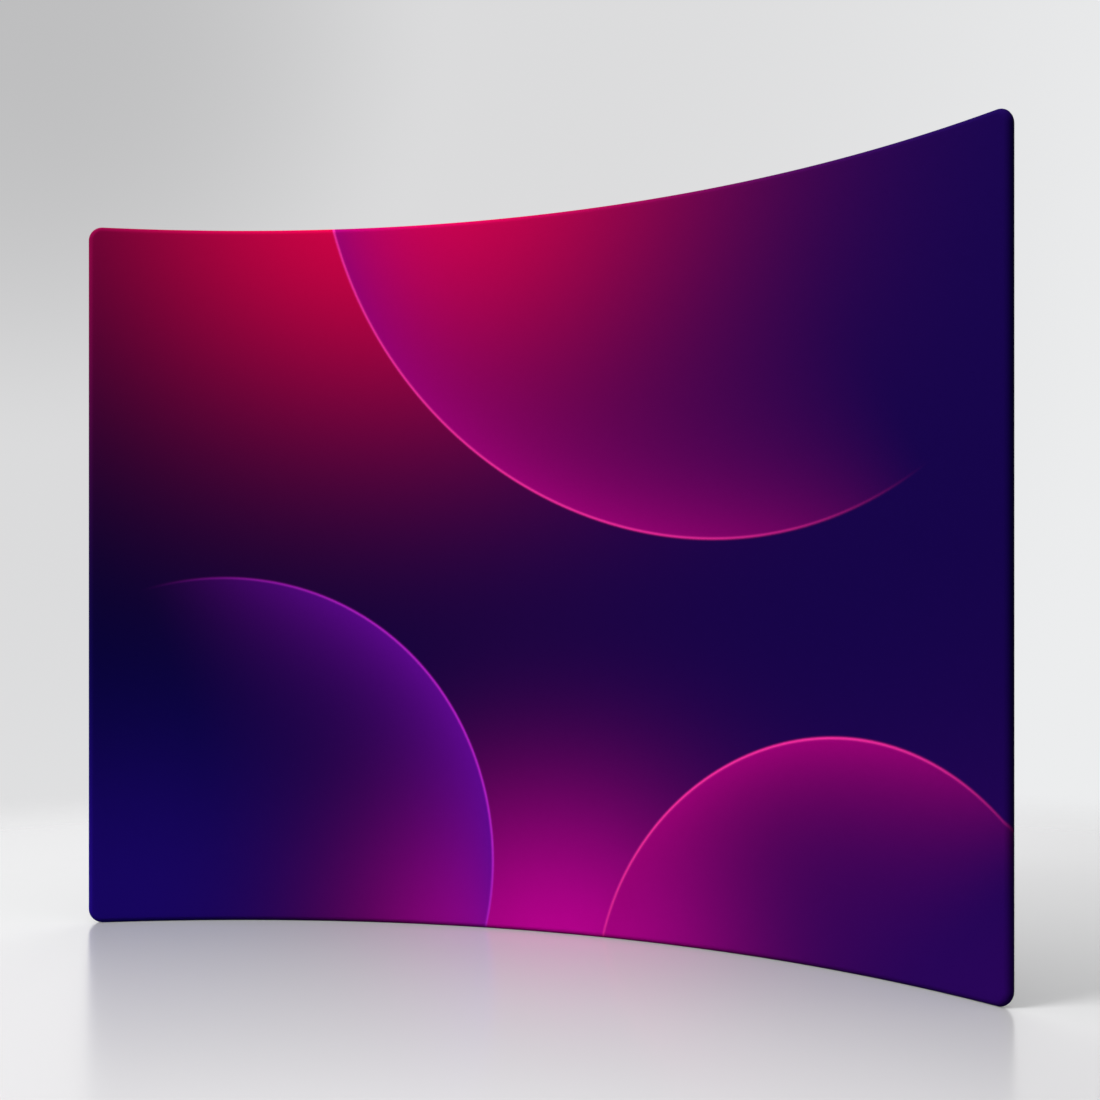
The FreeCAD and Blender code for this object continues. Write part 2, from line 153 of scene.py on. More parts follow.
def linear(code):
    """Linear colour with alpha from an sRGB hex value."""
    parts = [int(code[i : i + 2], 16) / 255 for i in (1, 3, 5)]
    return [p / 12.92 if p <= 0.04045 else ((p + 0.055) / 1.055) ** 2.4 for p in parts] + [1.0]


def add(tree, kind, inputs=(), **settings):
    """Adds a node: settings are its own properties, inputs are values or other nodes' sockets."""
    new = tree.nodes.new(kind)
    for name, value in settings.items():
        setattr(new, name, value)
    for socket, value in dict(inputs).items():
        if isinstance(value, bpy.types.NodeSocket):
            tree.links.new(value, new.inputs[socket])
        else:
            new.inputs[socket].default_value = value
    return new


def new_finish(name, **sockets):
    """A material with one Principled shader whose even values are set on its own sockets."""
    material = bpy.data.materials.new(name)
    material.use_nodes = True
    tree = material.node_tree
    tree.nodes.clear()
    shader = add(tree, "ShaderNodeBsdfPrincipled", sockets)
    add(tree, "ShaderNodeOutputMaterial", {"Surface": shader.outputs["BSDF"]})
    return material, tree, shader


def blend_colour(tree, strength, below, above):
    """One colour laid over another at a strength that varies over the surface."""
    mixed = add(
        tree,
        "ShaderNodeMix",
        {0: strength, 6: below, 7: above},
        data_type="RGBA",
    )
    return mixed.outputs[2]


def wave_scale(period):
    """The Wave texture's scale for bands a real distance apart: at scale 1 that is pi / 10 units."""
    return math.pi / 10 / period


print("half grey, #808080, is", round(linear("#808080")[0], 3), "of white in linear light")

# %% [markdown]
# ## Knitted polyester
# The cover is warp-knitted polyester with a little elastane. Its face has upright wales crossed by
# courses, about half a millimetre apart. That is finer than a pixel in a picture of the whole wall, so
# it reads as an even, matt, soft surface, and only a close view finds the loops. They keep their true
# size, because coarser ones would show where the real cloth looks smooth. Two crossed waves make them:
# they lift the normal, and they paint a highlight on each loop and shade in the gaps round it into the
# colour, by as much on average.

# %% Knit
WALE = 0.6 * MM
COURSE = 0.5 * MM
LOOP_HEIGHT = 0.05 * MM
LOOP_STRENGTH = 0.6
# painted shade in the gaps between loops and painted highlight on the loops, as factors on the colour
GAP_PAINTED_SHADE, LOOP_PAINTED_HIGHLIGHT = 0.85, 1.45  # the product of two waves is 0.25 on average, which gives 1


def knit(tree, plan, colour):
    """A colour with a fine knit's shade and highlight painted on, and the knit's normal, drawn in the
    unrolled wall's metres.
    """
    heights = {}
    for i, (way, period) in enumerate((("X", WALE), ("Y", COURSE))):
        bands = {"Vector": plan, "Scale": wave_scale(period)}
        heights[i] = add(tree, "ShaderNodeTexWave", bands, bands_direction=way).outputs["Fac"]
    loops = add(tree, "ShaderNodeMath", heights, operation="MULTIPLY").outputs[0]
    # painted light: the loops' tops are coloured lighter and the gaps darker
    loop_painted_light = add(tree, "ShaderNodeMapRange", {"Value": loops, "To Min": GAP_PAINTED_SHADE, "To Max": LOOP_PAINTED_HIGHLIGHT})
    painted_knit = add(tree, "ShaderNodeVectorMath", {0: colour, "Scale": loop_painted_light.outputs[0]}, operation="SCALE")
    bump = {"Height": loops, "Distance": LOOP_HEIGHT, "Strength": LOOP_STRENGTH}
    return painted_knit.outputs[0], add(tree, "ShaderNodeBump", bump).outputs[0]


print(f"{1 / WALE:.0f} wales and {1 / COURSE:.0f} courses to the metre")

# %% [markdown]
# ## The printed face
# Dye printing sinks the colour into the yarn, so the print keeps the cloth's own matt surface and can go
# very deep. The design is a plain one of the kind that such walls carry: a dark ground, soft glows, and
# large discs whose edges are lit from one side. A picture file could hold it, but a shape that is worked
# out from a distance stays crisp at any size. A glow is a bell curve of the distance to its middle.

# %% Colours and glows
NAVY, INDIGO, BLUE_VIOLET = "#03043c", "#15034c", "#2a0a96"
VIOLET, MAGENTA, PINK, CRIMSON = "#6a0aa0", "#a4007c", "#ff2fa6", "#e6004c"
ORCHID, LILAC = "#cc009c", "#c424d8"

# Soft glows: middle (s, z), spread along and up, colour, strength
GLOWS = [
    ((-0.62, 2.5), (0.9, 0.72), CRIMSON, 1.0),
    ((-1.55, 0.1), (0.7, 0.6), BLUE_VIOLET, 0.55),
    ((0.0, -0.12), (0.55, 0.5), ORCHID, 0.95),
    ((1.5, 0.0), (0.9, 0.6), VIOLET, 0.1),
]


def gaussian(tree, value):
    """e to the power of minus a square: 1 at nothing, fading both ways."""
    square = add(tree, "ShaderNodeMath", {0: value, 1: value}, operation="MULTIPLY")
    negative = add(tree, "ShaderNodeMath", {0: square.outputs[0], 1: -1.0}, operation="MULTIPLY")
    return add(tree, "ShaderNodeMath", {0: negative.outputs[0]}, operation="EXPONENT").outputs[0]


def glow(tree, plan, centre, spread, strength):
    """A soft oval glow about a point of the cloth."""
    away = add(tree, "ShaderNodeVectorMath", {0: plan, 1: (*centre, 0)}, operation="SUBTRACT")
    shape = (1 / spread[0], 1 / spread[1], 0)
    scaled = add(tree, "ShaderNodeVectorMath", {0: away.outputs[0], 1: shape}, operation="MULTIPLY")
    far = add(tree, "ShaderNodeVectorMath", {0: scaled.outputs[0]}, operation="LENGTH")
    soft = gaussian(tree, far.outputs["Value"])
    return add(tree, "ShaderNodeMath", {0: soft, 1: strength}, operation="MULTIPLY").outputs[0]


print(len(GLOWS), "glows")

# %% [markdown]
# ## Lit discs
# A disc shows as a thin bright line along its edge and a glow inside that dies away towards the middle,
# both strongest on the side that is lit. Line and glow come from one distance, how far a point lies past
# the edge, so they always meet.

# %% Discs
# Discs: middle (s, z), radius, the side that is lit, edge colour, inner colour, depth of the inner glow
DISCS = [
    ((0.62, 2.66), 1.42, (-0.72, -0.69), PINK, MAGENTA, 0.20),
    ((-1.12, 0.22), 0.92, (0.84, 0.54), LILAC, VIOLET, 0.18),
    ((1.02, -0.2), 0.86, (-0.42, 0.91), PINK, MAGENTA, 0.16),
]
EDGE_LINE = 4 * MM
EDGE_BLUR = 2 * MM
LIT_FROM = 0.25  # cosine of the angle from the lit side at which the edge starts to show


def lit_disc(tree, plan, centre, radius, lit, depth):
    """How strongly a disc's edge line and its inner glow show at a point of the cloth."""
    away = add(tree, "ShaderNodeVectorMath", {0: plan, 1: (*centre, 0)}, operation="SUBTRACT")
    far = add(tree, "ShaderNodeVectorMath", {0: away.outputs[0]}, operation="LENGTH")
    past = add(tree, "ShaderNodeMath", {0: far.outputs["Value"], 1: radius}, operation="SUBTRACT")
    inside = add(
        tree,
        "ShaderNodeMapRange",
        {"Value": past.outputs[0], "From Min": EDGE_BLUR, "From Max": -EDGE_BLUR},
        interpolation_type="SMOOTHSTEP",
    )
    share = add(tree, "ShaderNodeMath", {0: past.outputs[0], 1: depth}, operation="DIVIDE")
    fade = add(tree, "ShaderNodeMath", {0: share.outputs[0]}, operation="EXPONENT")
    inner = add(tree, "ShaderNodeMath", {0: fade.outputs[0], 1: inside.outputs[0]}, operation="MULTIPLY")
    thin = add(tree, "ShaderNodeMath", {0: past.outputs[0], 1: EDGE_LINE}, operation="DIVIDE")
    line = gaussian(tree, thin.outputs[0])
    way = add(tree, "ShaderNodeVectorMath", {0: away.outputs[0]}, operation="NORMALIZE")
    facing = {0: way.outputs[0], 1: (*lit, 0)}
    turned = add(tree, "ShaderNodeVectorMath", facing, operation="DOT_PRODUCT")
    side = add(
        tree,
        "ShaderNodeMapRange",
        {"Value": turned.outputs["Value"], "From Min": LIT_FROM, "From Max": 1.0},
        interpolation_type="SMOOTHSTEP",
    )
    strengths = [
        add(tree, "ShaderNodeMath", {0: part, 1: side.outputs[0]}, operation="MULTIPLY")
        for part in (line, inner.outputs[0])
    ]
    return [strength.outputs[0] for strength in strengths]


print(len(DISCS), "discs of radius", [radius for _, radius, *_ in DISCS], "m")

# %% [markdown]
# ## Printed cloth
# The ground goes slowly from navy to indigo along the wall. The glows and then the discs are laid over
# it one by one, and the knit paints its shade and highlight over the result. There is next to no gloss,
# because the yarns scatter what light they don't take up, so the colours look deep and even from every
# side.

# %% Printed cloth


def dye_printed_polyester():
    material, tree, shader = new_finish(
        "dye_printed_knit_polyester", **{"Roughness": 0.8, "IOR": 1.5, "Specular IOR Level": 0.015}
    )
    plan = add(tree, "ShaderNodeUVMap", uv_map="plan").outputs["UV"]
    along = add(tree, "ShaderNodeSeparateXYZ", {0: plan})
    slow = add(
        tree,
        "ShaderNodeMapRange",
        {"Value": along.outputs["X"], "From Min": -half_arc, "From Max": half_arc / 2},
        interpolation_type="SMOOTHSTEP",
    )
    colour = blend_colour(tree, slow.outputs[0], linear(NAVY), linear(INDIGO))
    for centre, spread, tint, strength in GLOWS:
        colour = blend_colour(tree, glow(tree, plan, centre, spread, strength), colour, linear(tint))
    for centre, radius, lit, edge_tint, inner_tint, depth in DISCS:
        line, inner = lit_disc(tree, plan, centre, radius, lit, depth)
        colour = blend_colour(tree, inner, colour, linear(inner_tint))
        colour = blend_colour(tree, line, colour, linear(edge_tint))
    # the knit paints shade into its gaps and a highlight onto its loops
    colour, normal = knit(tree, plan, colour)
    tree.links.new(colour, shader.inputs["Base Color"])
    tree.links.new(normal, shader.inputs["Normal"])
    return material


printed = dye_printed_polyester()
print("printed cloth:", len(printed.node_tree.nodes), "nodes")

# %% [markdown]
# ## The black back
# The back panel is the same knit, dyed black in the yarn. Black polyester is never quite black: the
# loops catch a little light at a glancing angle, which is a low sheen, and the dye's depth drifts a touch.

# %% Black cloth
DYE_DRIFT = 0.3  # metres across one cloud of lighter or darker dye


def black_polyester():
    material, tree, shader = new_finish(
        "black_knit_polyester",
        **{"Roughness": 0.8, "IOR": 1.5, "Specular IOR Level": 0.2, "Sheen Weight": 0.12},
    )
    plan = add(tree, "ShaderNodeUVMap", uv_map="plan").outputs["UV"]
    clouds = add(tree, "ShaderNodeTexNoise", {"Vector": plan, "Scale": 1 / DYE_DRIFT, "Detail": 4.0})
    tone = blend_colour(tree, clouds.outputs["Fac"], linear("#16161a"), linear("#222227"))
    # the knit paints shade into its gaps and a highlight onto its loops
    tone, normal = knit(tree, plan, tone)
    tree.links.new(tone, shader.inputs["Base Color"])
    tree.links.new(normal, shader.inputs["Normal"])
    return material


black_cloth = black_polyester()
print("black cloth:", len(black_cloth.node_tree.nodes), "nodes")

# %% [markdown]
# ## Sewing the cover
# Each panel is a flat rectangle whose border turns round the edge tubes. Its mesh is an even grid
# inside, then rings that spread from the grid's border: first flat, out to the tubes' centreline, then
# round the tube. At a corner the rings fan out from one point, which makes the elbow's round corner. The
# print goes over the edge and 20 degrees past it, where the black back is sewn on. The seam draws both
# panels in, and at the corners, where the cloth has less way to go, it gathers in small puckers.

# %% Border and rings
CORNER_STEPS = 48
FLAT_RINGS = (0.5, 1.0)  # shares of the way from the grid's border to the tubes' centreline
RIM_STEP = math.radians(5)
seam_behind = reach_from_axis("front_panel")[1] - curve_radius
SEAM = math.acos(-seam_behind / edge_radius)  # round the tube, from the front face
SEAM_WIDTH = math.radians(12)
SEAM_DRAW = 0.9 * MM
GATHERS = 6  # puckers round one corner
GATHER_DEPTH = 0.5 * MM
GATHER_WIDTH = math.radians(30)


def border(columns, rows):
    """The grid's border, anticlockwise from the front.

    Each sample has its place in the grid, its flat point, its outward direction, and how deep
    a pucker lies there at the seam.
    """
    last_column, last_row = len(columns) - 1, len(rows) - 1
    sides = [
        ([(i, 0) for i in range(last_column + 1)], -90),
        ([(last_column, j) for j in range(last_row + 1)], 0),
        ([(i, last_row) for i in range(last_column, -1, -1)], 90),
        ([(0, j) for j in range(last_row, -1, -1)], 180),
    ]
    samples = []
    for places, facing in sides:
        samples += [(place, facing, 0.0) for place in places]
        for step in range(1, CORNER_STEPS):
            share = step / CORNER_STEPS
            pucker = (1 - math.cos(math.tau * GATHERS * share)) / 2
            samples.append((places[-1], facing + 90 * share, pucker))
    found = []
    for (i, j), facing, pucker in samples:
        way = math.radians(facing)
        found.append(((i, j), (columns[i], rows[j]), (math.cos(way), math.sin(way)), pucker))
    return found


def rings(wrap):
    """Rings outward from the border: reach on the cloth, turn round the tube, closeness to the seam."""
    found = [(bend_radius * share, 0.0, 0.0, 0.0) for share in FLAT_RINGS]
    steps = round(wrap / RIM_STEP)
    for step in range(1, steps + 1):
        turn = wrap * step / steps
        left = wrap - turn
        drawn = max(0.0, 1 - left / SEAM_WIDTH) ** 2
        gathered = max(0.0, 1 - left / GATHER_WIDTH) ** 2
        found.append((bend_radius + edge_radius * turn, turn, drawn, gathered))
    return found


print(f"seam {math.degrees(SEAM):.1f} degrees round the tube, {len(rings(SEAM))} rings out from the grid")

# %% [markdown]
# ## One way to sew both panels
# Front and back are the same piece of sewing, mirrored and wrapped to different angles, so one function
# makes either. It rolls up the grid, then each ring round it, and joins every ring to the one before. The
# tight cloth lies on the floor at its lowest, so no point may go under.

# %% Panel
FLOOR_CLEARANCE = 0.3 * MM


def cloth_panel(name, facing, wrap, columns, rows, material, slit=None):
    """A panel of cloth that covers one side of the wall and wraps round its edge tubes."""
    flats = [(s, z) for s in columns for z in rows]
    points = [wall_point(s, z, facing * edge_radius) for s, z in flats]
    row_count = len(rows)
    faces = []
    for i in range(len(columns) - 1):
        for j in range(row_count - 1):
            if slit and slit.covers(columns[i : i + 2], rows[j : j + 2]):
                continue
            corner = i * row_count + j
            faces.append((corner, corner + row_count, corner + row_count + 1, corner + 1))
    loop = border(columns, rows)
    inner = [i * row_count + j for (i, j), _, _, _ in loop]
    for cloth_reach, turn, drawn, gathered in rings(wrap):
        outer = []
        for _, (s, z), (ds, dz), pucker in loop:
            radius = edge_radius - SEAM_DRAW * drawn - GATHER_DEPTH * gathered * pucker
            reach = min(cloth_reach, bend_radius) + radius * math.sin(turn)
            outer.append(len(points))
            points.append(wall_point(s + ds * reach, z + dz * reach, facing * radius * math.cos(turn)))
            flats.append((s + ds * cloth_reach, z + dz * cloth_reach))
        for k in range(len(loop)):
            following = (k + 1) % len(loop)
            face = (inner[k], outer[k], outer[following], inner[following])
            faces.append(tuple(dict.fromkeys(face)))
        inner = outer
    if slit:
        slit.fold_hem(points, flats, faces, columns, rows)
    for point in points:
        point.z = max(point.z, FLOOR_CLEARANCE)
    if facing > 0:
        faces = [face[::-1] for face in faces]
    return mesh_piece(name, points, faces, material, flats)


def evenly(low, high, count):
    return [low + (high - low) * i / count for i in range(count + 1)]


def cut_size(wrap):
    """Flat size of a panel: its straight part and the cloth that goes round the tubes."""
    turn_in = bend_radius + edge_radius * wrap
    return (2 * (half_arc + turn_in), top_rail - bottom_rail - 2 * bend_radius + 2 * turn_in)


# %% [markdown]
# ## The front panel
# The front is one print without a seam, pulled tight enough to lie dead smooth. Columns every 25 mm keep
# the facets within a few hundredths of a millimetre of the curve, and Solidify gives the sheet its
# thickness.

# %% Front panel
CLOTH = 0.4 * MM
COLUMN_COUNT, ROW_COUNT = 120, 60
columns = evenly(-half_arc, half_arc, COLUMN_COUNT)
rows = evenly(bottom_rail + bend_radius, top_rail - bend_radius, ROW_COUNT)


def give_thickness(piece):
    solid = piece.modifiers.new("cloth thickness", "SOLIDIFY")
    solid.thickness = CLOTH
    solid.offset = -1


front_cloth = cloth_panel("front_cloth", -1, SEAM, columns, rows, printed)
give_thickness(front_cloth)
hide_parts("front_panel")
print("front panel cut to", [round(side, 3) for side in cut_size(SEAM)], "m")

# %% [markdown]
# ## The back panel and its slit
# The back has a slit along the bottom for the zip. Its edges are turned in and sewn down on the zip's
# tapes, so the mesh leaves out the grid's faces there and folds a narrow hem under.

# %% Back panel
HEM_EDGE = 4.6 * MM  # from the zip's middle to the folded edge
HEM_DROP = 0.75 * MM
HEM_UNDER = 8 * MM
SAME_PLACE = 0.01 * MM
CLEAR_OF_ZIP = 30 * MM  # from the slit to the first even row
EVEN_ROWS = 58
zip_low, zip_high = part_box("zip_tape_upper")
zip_half_angle = math.atan2(zip_high.x - axis_x, zip_low.y - axis_y)


class Slit:
    """The zip's slit in the back panel, in the unrolled wall's metres."""

    half_length = curve_radius * zip_half_angle
    low = zip_height - HEM_EDGE
    high = zip_height + HEM_EDGE

    def covers(self, columns, rows):
        return abs(sum(columns)) / 2 < self.half_length and self.low < sum(rows) / 2 < self.high

    def fold_hem(self, points, flats, faces, columns, rows):
        inside = [i for i, s in enumerate(columns) if abs(s) < self.half_length + SAME_PLACE]
        for edge, way in ((self.low, 1), (self.high, -1)):
            j = min(range(len(rows)), key=lambda k: abs(rows[k] - edge))
            strip = [i * len(rows) + j for i in inside]
            for lift, drop in ((HEM_DROP / 2, HEM_DROP / 2), (-HEM_UNDER, HEM_DROP)):
                folded = []
                for i in inside:
                    folded.append(len(points))
                    points.append(wall_point(columns[i], rows[j] + way * lift, edge_radius - drop))
                    flats.append((columns[i], rows[j] + way * lift))
                for a, b, c, d in zip(strip, strip[1:], folded[1:], folded):
                    faces.append((a, b, c, d) if way > 0 else (d, c, b, a))
                strip = folded


slit = Slit()
BACK_WRAP = math.pi - SEAM
slit_ends = [-slit.half_length, slit.half_length]
back_columns = sorted(columns + slit_ends)
even_rows = evenly(slit.high + CLEAR_OF_ZIP, rows[-1], EVEN_ROWS)
back_rows = [rows[0], slit.low, slit.high] + even_rows
back_cloth = cloth_panel("back_cloth", 1, BACK_WRAP, back_columns, back_rows, black_cloth, slit)
give_thickness(back_cloth)
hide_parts("back_panel")
print("back panel cut to", [round(side, 3) for side in cut_size(BACK_WRAP)], "m")

# %% [markdown]
# ## The zip's tapes
# Zip tape is a narrow twill of polyester, with a cord woven into its inner edge that the teeth grip. The
# cross-section is drawn once, with the cord as a bulge, and swept along the slit. The twill's diagonal
# ribs are about 0.8 mm apart. To the eye they are a fine slanting grain, dull and near black, and the
# little light along each rib is a painted highlight: the ribs' high places are coloured lighter.

# %% Tapes
TWILL = 0.8 * MM
TWILL_RELIEF = 0.08 * MM
# Outer side, in mm: height from the zip's middle, and how far it stands out from the back cloth
TAPE_SIDE = [(2.7, 0.0), (3.5, 0.15), (4.2, -0.4), (5.2, -0.8), (17.0, -0.8)]
TAPE_THICKNESS = 0.5  # mm
CORD_THICKNESS = 1.5  # mm
CORD_REACH = 4.0  # mm from the zip's middle, up to which the tape is as thick as its cord


def twill_polyester():
    material, tree, shader = new_finish("black_twill_tape", **{"Roughness": 0.7, "Sheen Weight": 0.05})
    plan = add(tree, "ShaderNodeUVMap", uv_map="plan").outputs["UV"]
    bands = {"Vector": plan, "Scale": wave_scale(TWILL)}
    ribs_with_painted_highlight = add(tree, "ShaderNodeTexWave", bands, bands_direction="DIAGONAL")
    # painted highlight: the ribs' high places are coloured lighter, the low ones darker
    tone = blend_colour(tree, ribs_with_painted_highlight.outputs["Fac"], linear("#0b0b0d"), linear("#1d1d21"))
    bump = {"Height": ribs_with_painted_highlight.outputs["Fac"], "Distance": TWILL_RELIEF, "Strength": 0.8}
    tree.links.new(tone, shader.inputs["Base Color"])
    tree.links.new(add(tree, "ShaderNodeBump", bump).outputs[0], shader.inputs["Normal"])
    return material


def swept_along_zip(name, section, stations, material):
    """A closed cross-section of (height from the zip's middle, n) swept along the slit."""
    points, flats, faces = [], [], []
    count = len(section)
    for s in stations:
        for height, n in section:
            points.append(wall_point(s, zip_height + height, n))
            flats.append((s, height))
    for i in range(len(stations) - 1):
        for k in range(count):
            a, b = i * count + k, i * count + (k + 1) % count
            faces.append((a, b, b + count, a + count))
    last = (len(stations) - 1) * count
    faces.append(tuple(range(count - 1, -1, -1)))
    faces.append(tuple(range(last, last + count)))
    return mesh_piece(name, points, faces, material, flats)


twill = twill_polyester()
stations = [s for s in back_columns if abs(s) <= slit.half_length]
for name, way in (("upper", 1), ("lower", -1)):
    under = [
        (height, n - (CORD_THICKNESS if height < CORD_REACH else TAPE_THICKNESS))
        for height, n in TAPE_SIDE[::-1]
    ]
    section = [(way * height * MM, edge_radius + n * MM) for height, n in TAPE_SIDE + under]
    tape = swept_along_zip(f"zip_tape_{name}_woven", section[::-way], stations, twill)
    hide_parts(f"zip_tape_{name}")
print(len(stations), "stations along", round(2 * slit.half_length, 3), "m of zip")

# %% [markdown]
# ## The zip's teeth
# The teeth are moulded of acetal straight onto the tape's cord. Each has a neck and a wider head, and
# the heads of one row lock behind those of the other, half a pitch along. One outline makes every tooth:
# its front and back are drawn in a little, as a mould's rounded edges do. Moulded acetal has a soft, waxy
# shine, broken up by the mould's fine texture, so one noise moves both its tone and its roughness.

# %% Teeth
PITCH = 3.0 * MM
TOOTH = [(0.55, 3.3), (0.5, 1.3), (0.66, 0.7), (0.66, 0.0), (0.4, -0.55)]  # half outline, mm
TOOTH_EDGE = 0.4 * MM
DRAWN_IN = 0.8  # size of a tooth's front and back, as a share of its middle
ACETAL_GRAIN = 0.5 * MM


def two_tone(tree, shader, share, tones, roughness):
    """Colour and roughness that follow one pattern, from its low places to its high ones."""
    tone = blend_colour(tree, share, linear(tones[0]), linear(tones[1]))
    shine = {"Value": share, "To Min": roughness[0], "To Max": roughness[1]}
    tree.links.new(tone, shader.inputs["Base Color"])
    tree.links.new(add(tree, "ShaderNodeMapRange", shine).outputs[0], shader.inputs["Roughness"])


def moulded_acetal():
    material, tree, shader = new_finish("moulded_black_acetal", **{"IOR": 1.48})
    place = add(tree, "ShaderNodeTexCoord").outputs["Object"]
    grain = add(tree, "ShaderNodeTexNoise", {"Vector": place, "Scale": 1 / ACETAL_GRAIN, "Detail": 3.0})
    two_tone(tree, shader, grain.outputs["Fac"], ("#121214", "#232327"), (0.28, 0.5))
    return material


def teeth_row(name, way, first, material):
    """One row of teeth: way is 1 for the upper row, and first is its first tooth's place."""
    near, far = [reach - curve_radius for reach in reach_from_axis(f"zip_teeth_{name}")]
    outline = [(-x, y) for x, y in TOOTH[::-1]] + TOOTH
    layers = [(near, DRAWN_IN), (near + TOOTH_EDGE, 1.0), (far - TOOTH_EDGE, 1.0), (far, DRAWN_IN)]
    count = len(outline)
    points, faces = [], []
    for k in range(round(2 * abs(first) / PITCH)):
        s = first + k * PITCH
        base = len(points)
        for n, scale in layers:
            for x, height in outline:
                points.append(wall_point(s + x * scale * MM, zip_height + way * height * MM, n))
        for layer in range(len(layers) - 1):
            for i in range(count):
                a, b = base + layer * count + i, base + layer * count + (i + 1) % count
                faces.append((a, a + count, b + count, b)[::way])
        faces.append(tuple(base + i for i in range(count))[::way])
        faces.append(tuple(base + (len(layers) - 1) * count + i for i in range(count))[::-way])
    return mesh_piece(f"zip_teeth_{name}_moulded", points, faces, material)


acetal = moulded_acetal()
teeth_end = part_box("zip_teeth_upper")[1].x
teeth_half = curve_radius * math.asin(teeth_end / (curve_radius + edge_radius))
for name, way, shift in (("upper", 1, 0.5), ("lower", -1, 1.0)):  # shift in pitches
    row = teeth_row(name, way, -teeth_half + shift * PITCH, acetal)
    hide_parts(f"zip_teeth_{name}")
    print(name, "row:", len(row.data.vertices), "vertices")

# %% [markdown]
# ## Stitching
# Two rows of lockstitch run along each side of the zip: one close to the fold and one nearer the tape's
# edge. A stitch is a short thread that dives into the cloth at both ends, so it is drawn as a slim
# spindle, high in the middle. Bar tacks, rows of close stitches across, hold the slit's ends. Spun
# polyester thread looks dull, and the light and shade along its twist are painted into its colour as
# faint lighter and darker bands.

# %% Stitches
STITCH, STITCH_GAP = 3.2 * MM, 0.8 * MM
THREAD = 0.3 * MM  # half the thread's thickness
TIP = 0.05  # what is left of that at a stitch's ends, as a share
ROWS_FROM_ZIP = [6.2 * MM, 12.4 * MM]
TACK_STEPS = 7  # from one stitch to the next across the zip
TACK_PITCH = 3 * THREAD
# Along a stitch: share of its length from its middle, then width and rise as shares of THREAD
SPINDLE = [(-0.5, 0.0, -0.5), (-0.3, 1.0, 0.3), (0.0, 1.0, 0.6), (0.3, 1.0, 0.3), (0.5, 0.0, -0.5)]
THREAD_SIDES = 5


def spun_thread():
    material, tree, shader = new_finish(
        "black_polyester_thread", **{"Roughness": 0.5, "Sheen Weight": 0.1}
    )
    place = add(tree, "ShaderNodeTexCoord").outputs["Object"]
    twist_painted_light = add(tree, "ShaderNodeTexWave", {"Vector": place, "Scale": wave_scale(THREAD)})
    # painted light and shade of the twist: lighter and darker bands in the colour
    tone = blend_colour(tree, twist_painted_light.outputs["Fac"], linear("#161619"), linear("#303036"))
    tree.links.new(tone, shader.inputs["Base Color"])
    return material


def stitch(points, faces, s, z, along):
    """Adds one stitch centred at s, z; along is its unit direction on the flat cloth."""
    across = (-along[1], along[0])
    base = len(points)
    for share, width, rise in SPINDLE:
        thick = max(width, TIP)
        for k in range(THREAD_SIDES):
            angle = math.tau * k / THREAD_SIDES
            side = THREAD * thick * math.cos(angle)
            lift = THREAD * (rise + thick * math.sin(angle))
            flat_s = s + along[0] * share * STITCH + across[0] * side
            flat_z = z + along[1] * share * STITCH + across[1] * side
            points.append(wall_point(flat_s, flat_z, edge_radius + lift))
    for ring in range(len(SPINDLE) - 1):
        for k in range(THREAD_SIDES):
            a = base + ring * THREAD_SIDES + k
            b = base + ring * THREAD_SIDES + (k + 1) % THREAD_SIDES
            faces.append((a, a + THREAD_SIDES, b + THREAD_SIDES, b))
    first = tuple(range(base, base + THREAD_SIDES))
    last = tuple(point + (len(SPINDLE) - 1) * THREAD_SIDES for point in first)
    faces.append(first)
    faces.append(last[::-1])


def sew_zip():
    points, faces = [], []
    pitch = STITCH + STITCH_GAP
    count = int(2 * slit.half_length / pitch)
    for offset in ROWS_FROM_ZIP:
        for way in (1, -1):
            for k in range(count):
                stitch(points, faces, (k - (count - 1) / 2) * pitch, zip_height + way * offset, (1, 0))
    tack_rows = evenly(-ROWS_FROM_ZIP[-1], ROWS_FROM_ZIP[-1], TACK_STEPS)
    for end in slit_ends:
        for column in (-1, 0, 1):
            for height in tack_rows:
                stitch(points, faces, end + column * TACK_PITCH, zip_height + height, (0, 1))
    return mesh_piece("zip_stitching", points, faces, spun_thread())


stitching = sew_zip()
print("stitching:", len(stitching.data.vertices), "vertices")

# %% [markdown]
# ## Lacquered slider and pull
# The slider and its pull are die-cast zinc with a black lacquer: a dark skin with a clear, soft highlight
# that handling dulls in patches. Casting leaves every edge a little round, and an edge that catches light
# is most of what makes a small metal part look real. So the solids' own shapes are copied, their flat
# faces are joined up again, and a fine bevel rounds the edges.

# %% Slider and pull
CAST_EDGE = 0.22 * MM
WELD = 0.001 * MM
FLAT = math.radians(1)
SHARP = math.radians(35)
HANDLING = 2 * MM  # across one duller patch


def lacquered_zinc():
    material, tree, shader = new_finish(
        "black_lacquered_zinc", **{"IOR": 1.5, "Coat Weight": 0.5, "Coat Roughness": 0.18}
    )
    place = add(tree, "ShaderNodeTexCoord").outputs["Object"]
    wear = add(tree, "ShaderNodeTexNoise", {"Vector": place, "Scale": 1 / HANDLING, "Detail": 5.0})
    two_tone(tree, shader, wear.outputs["Fac"], ("#17171a", "#2b2b30"), (0.2, 0.45))
    return material


def welded(node):
    """A node's shape with its faces joined up again, flat ones whole."""
    shape = bmesh.new()
    shape.from_mesh(nodes[node].data)
    bmesh.ops.remove_doubles(shape, verts=shape.verts, dist=WELD)
    bmesh.ops.dissolve_limit(shape, angle_limit=FLAT, verts=shape.verts, edges=shape.edges)
    for face in shape.faces:
        face.smooth = True
    return shape


